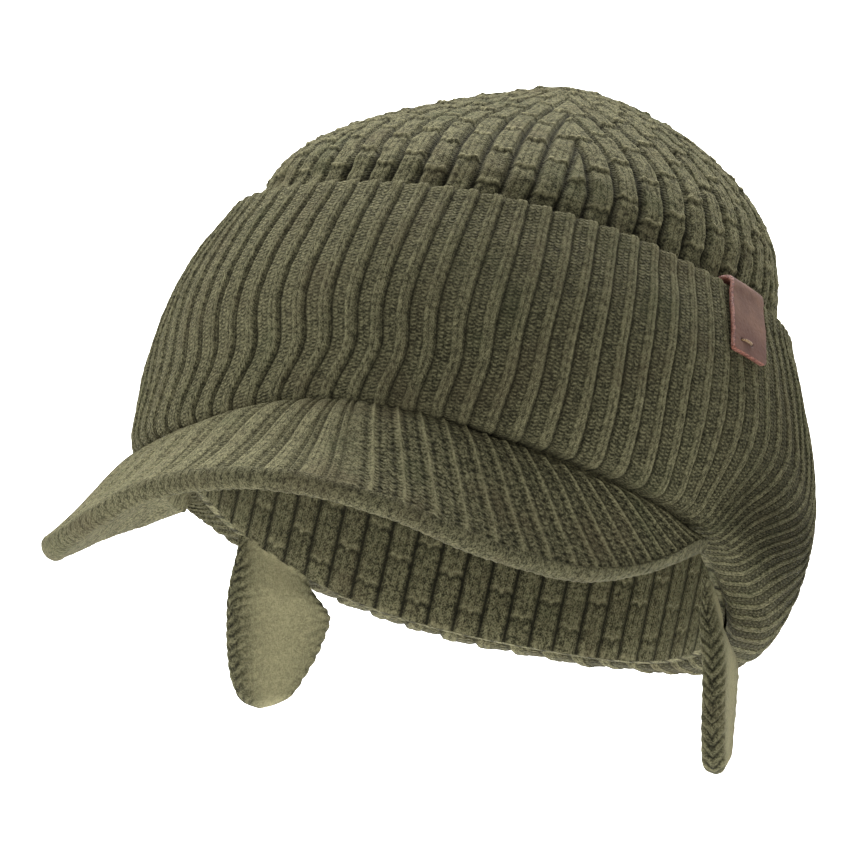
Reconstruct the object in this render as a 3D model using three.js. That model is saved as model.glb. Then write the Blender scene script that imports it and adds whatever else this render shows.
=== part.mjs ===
// A knitted peaked cap with a deep turned-up cuff and two hanging ear flaps, in the shape it takes when worn.
// Millimetres, +Z up. The front is -Y and the wearer's left side is +X.
// The origin is the middle of the head opening, at the level where the cuff grips the head.
import * as THREE from "three";

const { clamp, degToRad, lerp, radToDeg, smoothstep } = THREE.MathUtils;

// Driving dimensions
const PITCH = degToRad(27); // how far the opening's plane leans back, front up
const GAP = 0.4; // left between neighbouring pieces
const CROWN_WALL = 3.2; // one layer of the crown's broken rib
const HEM_RISE = 0.5; // the crown's hem over the bottom of the cuff's fold
const CUFF_FOLD = 0.06; // share of the cuff's height that the bottom fold's thickness takes
const PEAK = {
  wall: 7, // board and the knit round it
  spread: degToRad(77), // angle from the front to the peak's corner
  root: 3, // how far out from the crown its seam lies
  belly: 4, // how far it swells up between its seam and its edge
};
// An ear flap hangs from the crown's hem between two angles, toes in to the rear, and ends at a height.
const FLAP = {
  wall: 7.5,
  from: degToRad(91),
  to: degToRad(115),
  side: 81,
  back: -4,
  toeIn: degToRad(20),
  bottom: -81,
  drop: 0.8,
};
const TAB = { width: 17, wall: 1.6, angle: degToRad(79), radius: 92 };

// How finely each piece is faceted
const AROUND = 64;
const PEAK_COLUMNS = 40;
const FLAP_COLUMNS = 12;
const FLAP_ROWS = 14;
const TAB_COLUMNS = 6;
const THIN = 0.5; // half thickness that a padded piece keeps at its very edge

// Crown sections: height over the opening's plane, half width, half length, shift to the rear,
// and how many degrees the section leans forward from that plane.
const CROWN = [
  { up: -4, wide: 79, long: 98, back: 0, lean: 0 },
  { up: 20, wide: 79, long: 97, back: 0, lean: 0 },
  { up: 45, wide: 78, long: 92, back: 0, lean: 0 },
  { up: 60, wide: 76.5, long: 89, back: 1, lean: 0 },
  { up: 74, wide: 75, long: 86, back: 3, lean: 2 },
  { up: 88, wide: 69, long: 77.5, back: 5, lean: 5 },
  { up: 100, wide: 57.5, long: 64.5, back: 6, lean: 8 },
  { up: 110, wide: 43, long: 48, back: 7, lean: 11 },
  { up: 117, wide: 29, long: 32, back: 8, lean: 13 },
  { up: 121.5, wide: 17, long: 18, back: 8.5, lean: 14 },
  { up: 124, wide: 8, long: 8.5, back: 9, lean: 14 },
];
const CROWN_TOP = { up: 124.8, back: 9 };
// Shares of the way from the crown's hem to the cuff's top edge at which the hidden wall has a section.
const CROWN_UNDER_CUFF = { shares: [0, 0.3, 0.6, 0.85], up: 60 };

// Cuff profile from its top edge, round the bottom fold, to where it meets the crown: share of the cuff's
// height, how far its outer face stands out from the crown at front and rear, and its wall.
const CUFF = [
  { share: 1.0, front: 6.4, rear: 5.6, wall: 3 },
  { share: 0.94, front: 7.6, rear: 7, wall: 3.4 },
  { share: 0.8, front: 10.5, rear: 12, wall: 4 },
  { share: 0.62, front: 12.5, rear: 18, wall: 4.6 },
  { share: 0.45, front: 13, rear: 22, wall: 4.6 },
  { share: 0.3, front: 13.2, rear: 23, wall: 4.6 },
  { share: 0.16, front: 13.2, rear: 20, wall: 4.6 },
  { share: 0.06, front: 12.5, rear: 15.5, wall: 4.6 },
  { share: 0.012, front: 10, rear: 11.5, wall: 4.6 },
  { share: 0.0, front: 7, rear: 7.5, wall: 4.6 },
  { share: 0.0, front: 3, rear: 3, wall: 4.6 },
  { share: 0.03, front: 0.4, rear: 0.4, wall: 0 },
];

// Heights of the cuff's lower and upper edge round the head, by the angle from the front, + on the left.
const EDGES = [
  { angle: -180, low: -32, high: 60 },
  { angle: -140, low: -32, high: 60 },
  { angle: -110, low: -27, high: 60 },
  { angle: -80, low: -21, high: 60 },
  { angle: -45, low: -22, high: 59 },
  { angle: -20, low: -19, high: 57 },
  { angle: 0, low: -13, high: 57.5 },
  { angle: 20, low: -10, high: 58 },
  { angle: 50, low: -10, high: 58 },
  { angle: 80, low: -14, high: 57 },
  { angle: 110, low: -27, high: 59 },
  { angle: 140, low: -32, high: 60 },
  { angle: 180, low: -32, high: 60 },
];

// Outer edge of the peak from its right corner (-1) to its left (1), in the part's frame.
const PEAK_EDGE = [
  { share: -1, side: -89, ahead: 24, up: -14 },
  { share: -0.83, side: -92, ahead: 57, up: -15 },
  { share: -0.67, side: -86, ahead: 92, up: -14 },
  { share: -0.5, side: -70, ahead: 120, up: -8 },
  { share: -0.33, side: -49, ahead: 137, up: 4 },
  { share: -0.17, side: -24, ahead: 147, up: 18 },
  { share: 0, side: 0, ahead: 150, up: 25 },
  { share: 0.17, side: 24, ahead: 146, up: 26 },
  { share: 0.33, side: 46, ahead: 133, up: 18.5 },
  { share: 0.5, side: 64, ahead: 112, up: 5 },
  { share: 0.67, side: 79, ahead: 85, up: -6 },
  { share: 0.83, side: 86, ahead: 54, up: -9 },
  { share: 1, side: 88, ahead: 24, up: -8 },
];
const PEAK_ROWS = [0, 0.12, 0.25, 0.4, 0.55, 0.7, 0.82, 0.9, 0.93, 0.96, 0.985, 1];

// Flap outline down its length: where it starts behind the front edge, and its width.
const FLAP_OUTLINE = [
  { share: 0, start: 0, wide: 43 },
  { share: 0.35, start: 0, wide: 42 },
  { share: 0.6, start: 0, wide: 37 },
  { share: 0.8, start: 1.5, wide: 29 },
  { share: 0.93, start: 5, wide: 18 },
  { share: 1, start: 9, wide: 8 },
];

// Middle line of the leather tab over the cuff's top edge: height over that edge, and how far out
// from the crown.
const TAB_PATH = [
  { up: -10, out: 1.7 },
  { up: -4, out: 1.7 },
  { up: 0, out: 1.7 },
  { up: 1.9, out: 2.4 },
  { up: 2.6, out: 4.4 },
  { up: 2.2, out: 6.4 },
  { up: 0.6, out: 7.7 },
  { up: -3, out: 8.6 },
  { up: -9, out: 11 },
  { up: -15, out: 13.3 },
  { up: -21, out: 15.4 },
];

const finish = (color, roughness) => new THREE.MeshStandardMaterial({ color, roughness, metalness: 0 });
const KNIT = finish(0x5a5940, 0.95);
const LEATHER = finish(0x6b4640, 0.6);

// Value of a table's column at x, by a smooth curve through the rows.
function along(table, key, column, x) {
  let i = 0;
  while (i < table.length - 2 && x > table[i + 1][key]) i++;
  const row = (n) => table[clamp(n, 0, table.length - 1)];
  const [before, a, b, after] = [row(i - 1), row(i), row(i + 1), row(i + 2)];
  const slope = (p, q) => (q[column] - p[column]) / (q[key] - p[key]);
  const span = b[key] - a[key];
  const start = span * slope(before, b);
  const end = span * slope(a, after);
  const t = clamp((x - a[key]) / span, 0, 1);
  const [t2, t3] = [t * t, t * t * t];
  const blend = 3 * t2 - 2 * t3;
  return lerp(a[column], b[column], blend) + (t3 - 2 * t2 + t) * start + (t3 - t2) * end;
}

// A point given along the opening's plane and its axis, in the part's frame.
function worn(x, y, up) {
  const [c, s] = [Math.cos(PITCH), Math.sin(PITCH)];
  return new THREE.Vector3(x, y * c + up * s, up * c - y * s);
}

// Point at an angle from the front and a height, at a distance out from the crown's outer face.
function crownPoint(angle, up, out = 0) {
  const column = (name) => along(CROWN, "up", name, Math.max(up, CROWN[0].up));
  const lean = degToRad(column("lean"));
  const wide = (column("wide") + out) * Math.sin(angle);
  const long = (column("long") + out) * Math.cos(angle);
  return worn(wide, column("back") - long * Math.cos(lean), up - long * Math.sin(lean));
}

const low = (angle) => along(EDGES, "angle", "low", radToDeg(angle));
const high = (angle) => along(EDGES, "angle", "high", radToDeg(angle));
const hem = (angle) => low(angle) + HEM_RISE;

// Point of the cuff's outer face, or of its inner face a wall further in and above the fold.
function cuffPoint(angle, row, inner) {
  const rearward = (1 - Math.cos(angle)) / 2;
  const out = lerp(row.front, row.rear, rearward);
  const share = inner ? Math.max(row.share, CUFF_FOLD) : row.share;
  return crownPoint(angle, lerp(low(angle), high(angle), share), inner ? Math.max(out - row.wall, GAP) : out);
}

// A closed wall between two grids of points of the same size, `outer[row][column]` and `inner[row][column]`.
// `around` joins the last column to the first, and `cap` closes the last row of each grid on one point.
function shell(outer, inner, { around = true, cap = null } = {}) {
  const positions = [];
  const faces = [];
  const put = (points) => points.map((p) => positions.push(p.x, p.y, p.z) / 3 - 1);
  const out = outer.map(put);
  const inn = inner.map(put);
  const quad = (a, b, c, d) => faces.push(a, b, c, a, c, d);
  const columns = outer[0].length;
  const last = around ? columns : columns - 1;
  const top = outer.length - 1;
  const next = (j) => (j + 1) % columns;
  for (let i = 0; i < top; i++) {
    for (let j = 0; j < last; j++) {
      quad(out[i][j], out[i][next(j)], out[i + 1][next(j)], out[i + 1][j]);
      quad(inn[i][j], inn[i + 1][j], inn[i + 1][next(j)], inn[i][next(j)]);
    }
    if (!around) {
      quad(out[i][0], out[i + 1][0], inn[i + 1][0], inn[i][0]);
      quad(out[i][last], inn[i][last], inn[i + 1][last], out[i + 1][last]);
    }
  }
  for (let j = 0; j < last; j++) {
    quad(out[0][j], inn[0][j], inn[0][next(j)], out[0][next(j)]);
    if (!cap) quad(out[top][j], out[top][next(j)], inn[top][next(j)], inn[top][j]);
  }
  if (cap) {
    const [over, under] = put([cap.outer, cap.inner]);
    for (let j = 0; j < last; j++) {
      faces.push(out[top][j], out[top][next(j)], over);
      faces.push(inn[top][next(j)], inn[top][j], under);
    }
  }
  const geometry = new THREE.BufferGeometry();
  geometry.setAttribute("position", new THREE.Float32BufferAttribute(positions, 3));
  geometry.setIndex(faces);
  return geometry;
}

// A padded sheet: a middle surface grown both ways by a half thickness, both given at (s, r) from 0 to 1.
function pad(middle, half, columns, rows) {
  const step = 1e-3;
  const face = (side) =>
    rows.map((r) =>
      columns.map((s) => {
        const alongS = middle(Math.min(s + step, 1), r).sub(middle(Math.max(s - step, 0), r));
        const alongR = middle(s, Math.min(r + step, 1)).sub(middle(s, Math.max(r - step, 0)));
        const normal = alongS.cross(alongR).normalize();
        return middle(s, r).addScaledVector(normal, side * half(s, r));
      }),
    );
  return shell(face(1), face(-1), { around: false });
}

// How thick a padded sheet still is at a share of the way to its rounded edge: full until `from`, then round.
function rounded(share, from) {
  const x = Math.max(0, (share - from) / (1 - from));
  return Math.sqrt(Math.max(0, 1 - x * x));
}

// Values from 0 to 1 that crowd towards both ends, or towards the far end only.
const bothEnds = (n) => Array.from({ length: n + 1 }, (_, j) => (1 - Math.cos((Math.PI * j) / n)) / 2);
const farEnd = (n) => Array.from({ length: n + 1 }, (_, j) => Math.sin((Math.PI * j) / (2 * n)));
const angles = Array.from({ length: AROUND }, (_, j) => -Math.PI + (2 * Math.PI * j) / AROUND);

function piece(name, geometry, material) {
  geometry.computeVertexNormals();
  const mesh = new THREE.Mesh(geometry, material);
  mesh.name = name;
  return mesh;
}

// Crown: one wall from the hem inside the cuff to the middle of the top.
function crown() {
  const { shares, up: covered } = CROWN_UNDER_CUFF;
  const hidden = shares.map((share) => (angle) => lerp(hem(angle), covered, share));
  const shown = CROWN.filter((row) => row.up >= covered).map((row) => () => row.up);
  const levels = [...hidden, ...shown];
  const outer = levels.map((up) => angles.map((angle) => crownPoint(angle, up(angle))));
  const inner = levels.map((up) => angles.map((angle) => crownPoint(angle, up(angle), -CROWN_WALL)));
  const cap = {
    outer: worn(0, CROWN_TOP.back, CROWN_TOP.up),
    inner: worn(0, CROWN_TOP.back, CROWN_TOP.up - CROWN_WALL),
  };
  return piece("crown", shell(outer, inner, { cap }), KNIT);
}

// Cuff: the deep rib turned up over the crown's foot.
function cuff() {
  const rows = [...CUFF].reverse();
  const outer = rows.map((row) => angles.map((angle) => cuffPoint(angle, row, false)));
  const inner = rows.map((row) => angles.map((angle) => cuffPoint(angle, row, true)));
  return piece("cuff", shell(outer, inner), KNIT);
}

// Peak: a stiff arched board in knit, from its seam under the cuff's fold to a rounded edge.
function peak() {
  const across = (s) => 2 * s - 1;
  const middle = (s, r) => {
    const angle = across(s) * PEAK.spread;
    const root = crownPoint(angle, low(angle) - PEAK.wall / 2 - GAP, PEAK.root);
    const column = (name) => along(PEAK_EDGE, "share", name, across(s));
    const point = root.lerp(new THREE.Vector3(column("side"), -column("ahead"), column("up")), r);
    point.z += PEAK.belly * 6.75 * r * (1 - r) ** 2 * (1 - across(s) ** 6);
    return point;
  };
  const half = (s, r) => {
    const towardsCorner = lerp(0.35, 1, rounded(Math.abs(across(s)), 0.9));
    return Math.max((PEAK.wall / 2) * rounded(r, 0.93) * towardsCorner, THIN);
  };
  return piece("peak", pad(middle, half, bothEnds(PEAK_COLUMNS), PEAK_ROWS), KNIT);
}

// Ear flap: a padded tongue that continues the crown's hem downwards, on the left (1) or the right (-1).
function earFlap(name, side) {
  const middle = (s, r) => {
    const angle = side * lerp(FLAP.from, FLAP.to, s);
    const root = crownPoint(angle, hem(angle) - FLAP.drop, -CROWN_WALL / 2);
    const behind = along(FLAP_OUTLINE, "share", "start", r) + along(FLAP_OUTLINE, "share", "wide", r) * s;
    const x = side * (FLAP.side - Math.sin(FLAP.toeIn) * behind);
    const y = FLAP.back + Math.cos(FLAP.toeIn) * behind;
    const z = lerp(root.z, FLAP.bottom, r);
    return root.lerp(new THREE.Vector3(x, y, z), smoothstep(r, 0, 0.45)).setZ(z);
  };
  const half = (s, r) => {
    const thick = lerp(CROWN_WALL, FLAP.wall, smoothstep(r, 0, 0.3));
    return Math.max((thick / 2) * rounded(Math.abs(2 * s - 1), 0.78) * rounded(r, 0.93), THIN);
  };
  return piece(name, pad(middle, half, bothEnds(FLAP_COLUMNS), farEnd(FLAP_ROWS)), KNIT);
}

// Leather tab: a strip tucked in behind the cuff's top edge, bent over it and lying on the cuff outside.
function leatherTab() {
  const over = high(TAB.angle);
  const spread = TAB.width / 2 / TAB.radius;
  const place = (i, t, side) => {
    const row = TAB_PATH[i];
    const before = TAB_PATH[Math.max(i - 1, 0)];
    const after = TAB_PATH[Math.min(i + 1, TAB_PATH.length - 1)];
    const run = Math.hypot(after.up - before.up, after.out - before.out);
    const out = row.out - (side * (TAB.wall / 2) * (after.up - before.up)) / run;
    const up = row.up + (side * (TAB.wall / 2) * (after.out - before.out)) / run;
    return crownPoint(TAB.angle + t * spread, over + up, out);
  };
  const grid = (side) => TAB_PATH.map((_, i) => bothEnds(TAB_COLUMNS).map((s) => place(i, 2 * s - 1, side)));
  return piece("leather_tab", shell(grid(-1), grid(1), { around: false }), LEATHER);
}

const cap = new THREE.Group();
cap.add(crown(), cuff(), peak(), earFlap("ear_flap_left", 1), earFlap("ear_flap_right", -1), leatherTab());
export default cap;
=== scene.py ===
# A knitted peaked cap with a deep turned-up cuff and ear flaps, in the shape it takes when worn.
# Shapes are worked out in millimetres in the part's frame, and become metres where a mesh is made.
import math
from functools import partialmethod

import bpy
import numpy as np
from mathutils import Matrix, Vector, noise


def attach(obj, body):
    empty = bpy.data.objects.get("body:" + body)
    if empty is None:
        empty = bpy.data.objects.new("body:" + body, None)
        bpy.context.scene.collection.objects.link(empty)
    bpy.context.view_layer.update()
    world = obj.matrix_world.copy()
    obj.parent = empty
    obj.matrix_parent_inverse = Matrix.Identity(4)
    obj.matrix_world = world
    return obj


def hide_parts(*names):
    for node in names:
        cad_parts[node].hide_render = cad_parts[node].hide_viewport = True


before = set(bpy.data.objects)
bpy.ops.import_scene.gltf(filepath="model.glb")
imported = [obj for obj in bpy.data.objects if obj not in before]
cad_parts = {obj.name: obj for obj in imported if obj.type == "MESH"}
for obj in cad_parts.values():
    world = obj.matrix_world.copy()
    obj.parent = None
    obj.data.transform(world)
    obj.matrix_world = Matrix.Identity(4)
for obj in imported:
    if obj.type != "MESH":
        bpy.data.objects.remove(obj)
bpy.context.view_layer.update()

MM = 0.001
TURN = 2 * math.pi

# Driving dimensions, close to the part's
PITCH = math.radians(27)  # how far the opening's plane leans back, front up
GAP = 0.4
CROWN_WALL = 3.2
HEM_RISE = 0.5
CUFF_FOLD = 0.06
PEAK = {"wall": 7, "spread": math.radians(77), "root": 1, "belly": 4}
FLAP = {"wall": 7.5, "from": 95, "to": 116, "drop": 0.8}
FLAP_END = {"side": 81, "back": -4, "toe_in": math.radians(18), "bottom": -83.6}
TAB = {"width": 15.6, "wall": 1.6, "angle": math.radians(80), "radius": 92, "swing": 0.045}


def table(columns, *rows):
    """A short table as one array for each named column."""
    return dict(zip(columns.split(), np.array(rows, float).T))


# Crown sections: height over the opening's plane, half width, half length, shift to the rear, forward lean
CROWN = table(
    "up wide long back lean",
    (-4, 79, 98, 0, 0), (20, 79, 97, 0, 0), (45, 78, 92, 0, 0), (60, 76.5, 89, 1, 0), (74, 75, 86, 3, 2),
    (88, 69, 77.5, 5, 5), (100, 57.5, 64.5, 6, 8), (110, 43, 48, 7, 11), (117, 29, 32, 8, 13),
    (121.5, 17, 18, 8.5, 14), (124, 8, 8.5, 9, 14),
)
CROWN_TOP = {"up": 124.8, "back": 9}
# Cuff profile from its top edge round the bottom fold to the crown
CUFF = table(
    "row share front rear wall",
    (0, 1.0, 6.4, 5.6, 3), (1, 0.94, 7.6, 7, 3.4), (2, 0.8, 10.5, 12, 4), (3, 0.62, 12.5, 18, 4.6),
    (4, 0.45, 13, 22, 4.6), (5, 0.3, 13.2, 23, 4.6), (6, 0.15, 13.5, 20, 4.6), (7, 0.05, 13.2, 16, 4.6),
    (8, 0.004, 11, 12, 4.6), (9, -0.003, 7, 7.5, 4.6), (10, 0.0, 3, 3, 4.6), (11, 0.03, 0.4, 0.4, 0),
)
# Heights of the cuff's lower and upper edge round the head
EDGES = table(
    "angle low high",
    (-180, -32, 60), (-140, -32, 60), (-110, -27, 57), (-80, -21, 54.5), (-45, -22, 54.5), (-20, -19, 55),
    (0, -13, 56.5), (20, -10, 58), (50, -10, 58), (80, -14, 57), (110, -27, 59), (140, -32, 60),
    (180, -32, 60),
)
# Outer edge of the peak from its right corner to its left
PEAK_EDGE = table(
    "share side ahead up",
    (-1, -89, 24, -14), (-0.83, -92, 57, -15), (-0.67, -86, 92, -14), (-0.5, -70, 120, -8),
    (-0.33, -49, 137, 4), (-0.17, -24, 147, 18), (0, 0, 150, 25), (0.17, 24, 146, 26),
    (0.33, 46, 133, 18.5), (0.5, 64, 112, 5), (0.67, 79, 85, -6), (0.83, 86, 54, -9), (1, 88, 24, -8),
)
FLAP_OUTLINE = table(
    "share start wide",
    (0, 0, 43), (0.35, 0, 42), (0.6, 0, 37), (0.8, 1.5, 29), (0.9, 4, 22), (0.96, 7, 15), (1, 12, 4),
)
# Middle line of the leather tab over the cuff's top edge
TAB_PATH = table(
    "row up out",
    (0, -10, 1.7), (1, -4, 1.7), (2, 0, 1.7), (3, 1.9, 2.4), (4, 2.6, 4.4), (5, 2.2, 6.4), (6, 0.6, 7.7),
    (7, -3, 8.6), (8, -9, 11), (9, -15, 13.3), (10, -21, 15.4),
)

# The knit: ribs and courses
COURSE = 1.3  # height of one row of stitches
CROWN_RIBS = 60
CROWN_GORES = 6  # ribs run side by side in each, and end at the darts between them
GORE_RIBS = CROWN_RIBS // CROWN_GORES
GORE_WIDTH = TURN / CROWN_GORES
FIRST_DART = math.radians(31)
NARROWING = 0.55  # 1 would keep the ribs' width up to the top, 0 would narrow them all to a point
CROWN_TWIST = 0.15  # how far round the ribs drift from the top of the crown to the cuff
LEDGE = 14  # courses from one ledge of a broken rib to its next
CUFF_RIBS = 84
# One rib of the cuff from left to right: two knit wales, a groove, then purl that rises to the next rib
CUFF_RIB = table(
    "share height",
    (0, 0.72), (0.05, 0.9), (0.11, 1), (0.2, 0.9), (0.29, 1), (0.36, 0.85), (0.42, 0.35), (0.465, 0),
    (0.52, 0.22), (0.62, 0.5), (0.78, 0.6), (0.91, 0.63), (0.97, 0.58), (1, 0.75),
)
# Where a cuff rib that stands at an angle above has its foot: they are gathered at the peak's corner
GATHER = table(
    "angle foot",
    (0, 0), (50, 50), (66, 67), (80, 76), (92, 81), (106, 87), (118, 94), (130, 105), (145, 124),
    (162, 152), (180, 180),
)


def lerp(a, b, t):
    return a + (b - a) * t


def smoothstep(x, low=0.0, high=1.0):
    t = np.clip((x - low) / (high - low), 0, 1)
    return t * t * (3 - 2 * t)


def hump(x, width):
    """A smooth hump of height 1 at x = 0."""
    return np.exp(-((x / width) ** 2))


def rounded(share, start):
    """1 up to a share, then down to 0 on a quarter circle."""
    x = np.clip((share - start) / (1 - start), 0, 1)
    return np.sqrt(np.clip(1 - x * x, 0, 1))


def along(rows, column, x):
    """Value of a table's column where its first column is x, by a smooth curve through the rows."""
    keys, values = next(iter(rows.values())), rows[column]
    last = len(keys) - 1
    n = np.arange(last + 1)
    before, after = np.maximum(n - 1, 0), np.minimum(n + 1, last)
    slopes = (values[after] - values[before]) / (keys[after] - keys[before])
    i = np.clip(np.searchsorted(keys, x) - 1, 0, last - 1)
    span = keys[i + 1] - keys[i]
    t = np.clip((x - keys[i]) / span, 0, 1)
    blend = t * t * (3 - 2 * t)
    start = (t**3 - 2 * t**2 + t) * span * slopes[i]
    end = (t**3 - t**2) * span * slopes[i + 1]
    return lerp(values[i], values[i + 1], blend) + start + end


def worn(x, y, up):
    """A point given along the opening's plane and its axis, in the part's frame."""
    c, s = math.cos(PITCH), math.sin(PITCH)
    return np.stack(np.broadcast_arrays(x, y * c + up * s, up * c - y * s), -1)


def crown_point(angle, up, out=0.0):
    """Point at an angle from the front and a height, at a distance out from the crown's outer face."""
    level = np.maximum(up, CROWN["up"][0])
    wide, long, back, lean = (along(CROWN, name, level) for name in ("wide", "long", "back", "lean"))
    lean = np.radians(lean)
    x = (wide + out) * np.sin(angle)
    y = (long + out) * np.cos(angle)
    return worn(x, back - y * np.cos(lean), up - y * np.sin(lean))


def low(angle):
    return along(EDGES, "low", np.degrees(angle))


def high(angle):
    return along(EDGES, "high", np.degrees(angle))


def hem(angle):
    return low(angle) + HEM_RISE


def turned(angle):
    """The same angle between -180 and 180 degrees, in radians."""
    return (angle + math.pi) % TURN - math.pi


def unit(vectors):
    """Vectors of length 1 in the same directions."""
    return vectors / np.maximum(np.linalg.norm(vectors, axis=-1, keepdims=True), 1e-9)


def normals(points, around=False):
    """Unit normals of a grid of points, outward where rows run down and columns to the left from outside."""
    if around:
        wrapped = np.concatenate([points[:, -1:], points, points[:, :1]], 1)
        across = wrapped[:, 2:] - wrapped[:, :-2]
    else:
        across = np.gradient(points, axis=1)
    return unit(np.cross(np.gradient(points, axis=0), across))


def unevenness(points, size, seed):
    """Smooth noise of about -1 to 1 at each point, with lumps of a size in millimetres."""
    flat = points.reshape(-1, 3) / size + seed * 17.3
    return np.array([noise.noise(p) for p in flat.tolist()]).reshape(points.shape[:-1]) * 1.6


# Meshes


def add_object(name, data):
    thing = bpy.data.objects.new(name, data)
    bpy.context.scene.collection.objects.link(thing)
    return thing


class Fabric:
    """Collects points and faces, with a rib and course coordinate at each corner of each face."""

    def __init__(self):
        self.points, self.faces, self.stitches = [], [], []
        self.count = 0

    def put(self, points):
        """Adds a grid of points and returns their numbers."""
        numbers = self.count + np.arange(points[..., 0].size).reshape(points.shape[:-1])
        self.points.append(points.reshape(-1, 3))
        self.count += numbers.size
        return numbers

    def fill(self, corners, ribs, courses):
        """Adds faces from lists of corner numbers, ribs and courses, each as one array for a corner."""
        self.faces.append(np.stack([c.ravel() for c in corners], -1))
        both = [np.stack([r.ravel(), c.ravel()], -1) for r, c in zip(ribs, courses)]
        self.stitches.append(np.stack(both, 1))

    def grid(self, numbers, rib, course, flip=False):
        """Quads over a grid of numbers, with coordinates that fit its shape."""
        start, end = slice(None, -1), slice(1, None)
        corners = [(start, start), (start, end), (end, end), (end, start)]
        if flip:
            corners.reverse()
        grids = [np.broadcast_to(values, numbers.shape) for values in (numbers, rib, course)]
        self.fill(*([values[c] for c in corners] for values in grids))

    def mesh(self, name, material):
        mesh = bpy.data.meshes.new(name)
        points = np.concatenate(self.points) * MM
        mesh.vertices.add(len(points))
        mesh.vertices.foreach_set("co", points.astype(np.float32).ravel())
        loops = np.concatenate([f.ravel() for f in self.faces])
        sizes = np.concatenate([np.full(len(f), f.shape[1]) for f in self.faces])
        mesh.loops.add(len(loops))
        mesh.loops.foreach_set("vertex_index", loops.astype(np.int32))
        mesh.polygons.add(len(sizes))
        starts = np.concatenate([[0], np.cumsum(sizes)[:-1]])
        mesh.polygons.foreach_set("loop_start", starts.astype(np.int32))
        mesh.update(calc_edges=True)
        mesh.validate()
        layer = mesh.uv_layers.new(name="stitches")
        stitches = np.concatenate([s.reshape(-1, 2) for s in self.stitches])
        layer.data.foreach_set("uv", stitches.astype(np.float32).ravel())
        mesh.polygons.foreach_set("use_smooth", np.ones(len(sizes), bool))
        mesh.materials.append(material)
        return add_object(name, mesh)


def close_ring(fabric, ring, turned_over=False):
    """Closes a flat ring of points with strips between its two halves, which start at its first point."""
    half = len(ring) // 2
    there, back = ring[1:half], ring[: half : -1]
    strips = [
        (ring[:1], there[:1], back[:1]),
        (there[:-1], there[1:], back[1:], back[:-1]),
        (there[-1:], ring[half : half + 1], back[-1:]),
    ]
    for corners in strips:
        flat = [np.full(len(corners[0]), 1.2)] * len(corners)
        fabric.fill(corners[::-1] if turned_over else corners, flat, flat)


def closed(numbers):
    """A line or grid of numbers with its first column repeated after its last."""
    return np.concatenate([numbers, numbers[..., :1]], -1)


def outward(surface, a, b, da, db):
    """Unit normal of surface(a, b), outward where a turns to the left and b runs down."""
    across = surface(a + da, b) - surface(a - da, b)
    upward = surface(a, b - db) - surface(a, b + db)
    return unit(np.cross(across, upward))


def arc_length(points):
    """Distance along a line of points from its first point."""
    return np.concatenate([[0], np.cumsum(np.linalg.norm(np.diff(points, axis=0), axis=-1))])


# Crown

CROWN_COLUMNS = 672  # round the foot; they halve wherever the rings get half as wide
CROWN_STEP = 0.78  # between rings
CROWN_SHOWN_FROM = 52  # height below which the cuff hides it
RIB_DEPTH = 2.7
LEDGE_ARC = 0.9  # how far each stitch column bows a ledge, in courses
LEDGE_SHIFT = 0.07  # how unevenly the ledges of different ribs lie, as a share of a block
INSIDE_RINGS = 34
TOP = worn(0, CROWN_TOP["back"], CROWN_TOP["up"])
AXIS = worn(0, 0, 1)


def crown_profile():
    """Heights down the crown, with their distance from the middle of the top along the surface."""
    ups = np.linspace(CROWN["up"][0] - 40, CROWN["up"][-1], 500)
    lines = [np.concatenate([crown_point(a, ups), TOP[None]]) for a in (0.0, math.pi / 2, math.pi)]
    lengths = np.mean([arc_length(line[::-1]) for line in lines], axis=0)
    return ups[::-1], lengths[1:]


PROFILE_UP, PROFILE_DOWN = crown_profile()


def up_at(down):
    return np.interp(down, PROFILE_DOWN, PROFILE_UP)


def down_at(up):
    return np.interp(-up, -PROFILE_UP, PROFILE_DOWN)


def crown_surface(angle, down):
    """Point of the crown's outer face, at a distance from the middle of the top along the surface."""
    share = np.clip(down / PROFILE_DOWN[0], 0, 1)[..., None]
    dome = AXIS * (share - share**2) * 0.8
    return lerp(TOP, crown_point(angle, up_at(down)), share) + dome


def crown_rib(angle, down, gore):
    """Rib coordinate in a gore, whose middle rib is a whole number."""
    up = up_at(down)
    radius = (along(CROWN, "wide", up) + along(CROWN, "long", up)) / 2
    foot = (CROWN["wide"][3] + CROWN["long"][3]) / 2
    shrink = np.clip(np.minimum(radius, down) / foot, 0, 1) ** NARROWING
    middle = FIRST_DART + (gore + 0.5) * GORE_WIDTH
    return gore * GORE_RIBS + 0.5 + (angle - middle) / GORE_WIDTH * GORE_RIBS * shrink


def crown_relief(rib, down):
    """How far the broken rib stands out: grooves between ribs, and a lip across each rib at every ledge."""
    share = rib - np.floor(rib)
    odd = np.floor(rib) % 2
    groove = hump(np.minimum(share, 1 - share), 0.115)
    split = 0.2 * hump(np.abs(share - 0.5) - 0.125, 0.04)
    arcs = LEDGE_ARC * np.abs(np.sin(TURN * share))
    shift = LEDGE_SHIFT * np.sin(np.floor(rib) * 2.4)
    block = ((down / COURSE + arcs) / LEDGE + 0.5 * odd + shift) % 1
    lip = hump(block - 0.06, 0.045) * (0.8 + 0.3 * np.sin(down * 0.21 + rib * 1.7))
    lip *= lerp(1.2, 1, smoothstep(down, 25, 75))
    recess = hump(block - 0.165, 0.06)
    body = -0.7 - split - 0.35 * recess + 0.6 * lip
    return lerp(body, -RIB_DEPTH * lerp(0.7, 1, smoothstep(down, 20, 80)), groove)


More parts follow.
